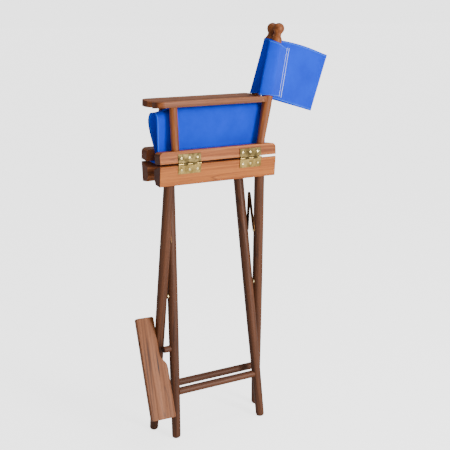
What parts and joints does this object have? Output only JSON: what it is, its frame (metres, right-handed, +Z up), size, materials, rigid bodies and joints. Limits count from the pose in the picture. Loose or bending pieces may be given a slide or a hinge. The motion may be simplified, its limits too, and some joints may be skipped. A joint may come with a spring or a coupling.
{
  "type": "folding chair",
  "caption": "tall folding director's chair, stored folded: crossed turned legs, hinged side frames with flat arms, canvas seat loop, folded canvas back and a swinging footrest board",
  "frame": {"origin": "bottom centre of the folded chair's bounding box, on the floor", "axes": "+Z up, the sitter faces -Y, +X to the sitter's left"},
  "size_m": [0.1702, 0.6894, 1.3025],
  "materials": {
    "wood": "oiled medium-brown hardwood with long dark grain",
    "brass": "polished brass, lightly worn",
    "steel": "bright zinc-plated steel",
    "canvas": "matt bright blue cotton canvas with pale double stitching"
  },
  "bodies": {
    "crossing": {"crossing_bolt_front": "brass", "crossing_spacer_front": "brass", "crossing_nut_front": "brass", "crossing_bolt_rear": "brass", "crossing_spacer_rear": "brass", "crossing_nut_rear": "brass"},
    "left_legs": {"lower_rail_left": "wood", "stretcher_left": "wood", "leg_front_left": "wood", "leg_rear_left": "wood", "stay_screw_front_left": "brass", "stay_screw_rear_left": "brass", "hinge_lower_leaf_front_left": "brass", "hinge_lower_leaf_rear_left": "brass", "hinge_pin_front_left": "brass", "hinge_pin_rear_left": "brass", "footrest_bolt": "steel", "footrest_nut": "steel"},
    "left_frame": {"upper_rail_left": "wood", "front_post_left": "wood", "back_post_left": "wood", "arm_left": "wood", "hem_rod_left": "steel", "hinge_upper_leaf_front_left": "brass", "hinge_upper_leaf_rear_left": "brass"},
    "stay_front_left": {"stay_front_left": "brass", "stay_rivet_front": "brass"},
    "stay_rear_left": {"stay_rear_left": "brass"},
    "right_legs": {"lower_rail_right": "wood", "stretcher_right": "wood", "leg_front_right": "wood", "leg_rear_right": "wood", "stay_screw_front_right": "brass", "stay_screw_rear_right": "brass", "hinge_lower_leaf_front_right": "brass", "hinge_lower_leaf_rear_right": "brass", "hinge_pin_front_right": "brass", "hinge_pin_rear_right": "brass", "footrest_peg": "wood"},
    "right_frame": {"upper_rail_right": "wood", "front_post_right": "wood", "back_post_right": "wood", "arm_right": "wood", "hem_rod_right": "steel", "hinge_upper_leaf_front_right": "brass", "hinge_upper_leaf_rear_right": "brass"},
    "stay_front_right": {"stay_front_right": "brass"},
    "stay_rear_right": {"stay_rear_right": "brass", "stay_rivet_rear": "brass"},
    "footrest": {"footrest": "wood"},
    "seat_left": {"seat_canvas_left": "canvas"},
    "seat_top": {"seat_canvas_top": "canvas"},
    "seat_right": {"seat_canvas_right": "canvas"},
    "back_left": {"back_canvas_left": "canvas"},
    "back_right": {"back_canvas_right": "canvas"}
  },
  "joints": [
    {"name": "left_legs_fold", "type": "hinge", "parent": "crossing", "child": "left_legs", "pos_m": [-0.0109, -0.24054, 0.46761], "axis": [0, 1, 0], "range_deg": [0, 22.35]},
    {"name": "right_legs_fold", "type": "hinge", "parent": "crossing", "child": "right_legs", "pos_m": [-0.0109, -0.24054, 0.46761], "axis": [0, 1, 0], "range_deg": [-22.35, 0]},
    {"name": "left_rail_hinge", "type": "hinge", "parent": "left_legs", "child": "left_frame", "pos_m": [0.06013, -0.18794, 0.89604], "axis": [0, 1, 0], "range_deg": [-17.75, 0]},
    {"name": "right_rail_hinge", "type": "hinge", "parent": "right_legs", "child": "right_frame", "pos_m": [-0.08192, -0.18794, 0.89604], "axis": [0, 1, 0], "range_deg": [0, 17.75]},
    {"name": "stay_front_left_pivot", "type": "hinge", "parent": "left_legs", "child": "stay_front_left", "pos_m": [0.00683, -0.2523, 0.64673], "axis": [0, 1, 0], "range_deg": [-59.04, 0]},
    {"name": "stay_front_right_pivot", "type": "hinge", "parent": "right_legs", "child": "stay_front_right", "pos_m": [-0.02862, -0.2151, 0.64673], "axis": [0, 1, 0], "range_deg": [0, 59.04]},
    {"name": "stay_rear_right_pivot", "type": "hinge", "parent": "right_legs", "child": "stay_rear_right", "pos_m": [-0.02862, 0.04662, 0.64673], "axis": [0, 1, 0], "range_deg": [0, 59.04]},
    {"name": "stay_rear_left_pivot", "type": "hinge", "parent": "left_legs", "child": "stay_rear_left", "pos_m": [0.00683, 0.08382, 0.64673], "axis": [0, 1, 0], "range_deg": [-59.04, 0]},
    {"name": "footrest_pivot", "type": "hinge", "parent": "left_legs", "child": "footrest", "pos_m": [-0.02139, -0.26472, 0.32093], "axis": [0.0037, -0.9993, 0.0378], "range_deg": [-9.5, 88.6]},
    {"name": "seat_left_turn", "type": "hinge", "parent": "left_frame", "child": "seat_left", "pos_m": [0.0106, -0.11094, 0.89508], "axis": [0, 1, 0], "range_deg": [-94.6, 0], "deforming": ["seat_canvas_left"]},
    {"name": "seat_fold_left", "type": "hinge", "parent": "seat_left", "child": "seat_top", "pos_m": [0.0106, -0.11094, 1.0527], "axis": [0, 1, 0], "range_deg": [0, 90], "deforming": ["seat_canvas_top"]},
    {"name": "seat_fold_right", "type": "hinge", "parent": "seat_top", "child": "seat_right", "pos_m": [-0.0324, -0.11094, 1.0527], "axis": [0, 1, 0], "range_deg": [0, 90], "deforming": ["seat_canvas_right"]},
    {"name": "back_left_turn", "type": "hinge", "parent": "left_frame", "child": "back_left", "pos_m": [0.01702, 0.12553, 1.16373], "axis": [-0.078, 0.2302, 0.97], "range_deg": [0, 81.23], "deforming": ["back_canvas_left"]},
    {"name": "back_fold", "type": "hinge", "parent": "back_left", "child": "back_right", "pos_m": [-0.0109, 0.32525, 1.1165], "axis": [0, 0.2411, 0.9705], "range_deg": [-164.62, 0], "deforming": ["back_canvas_right"]}
  ],
  "couplings": [
    {"joint": "right_legs_fold", "follows": "left_legs_fold", "ratio": -1},
    {"joint": "left_rail_hinge", "follows": "left_legs_fold", "ratio": -0.79418},
    {"joint": "right_rail_hinge", "follows": "left_legs_fold", "ratio": 0.79418},
    {"joint": "stay_front_left_pivot", "follows": "left_legs_fold", "ratio": -2.6416},
    {"joint": "stay_front_right_pivot", "follows": "left_legs_fold", "ratio": 2.6416},
    {"joint": "stay_rear_right_pivot", "follows": "left_legs_fold", "ratio": 2.6416},
    {"joint": "stay_rear_left_pivot", "follows": "left_legs_fold", "ratio": -2.6416},
    {"joint": "seat_left_turn", "follows": "left_legs_fold", "ratio": -4.2327},
    {"joint": "seat_fold_left", "follows": "left_legs_fold", "ratio": 4.0268},
    {"joint": "seat_fold_right", "follows": "left_legs_fold", "ratio": 4.0268},
    {"joint": "back_left_turn", "follows": "left_legs_fold", "ratio": 3.6343},
    {"joint": "back_fold", "follows": "left_legs_fold", "ratio": -7.3657}
  ]
}
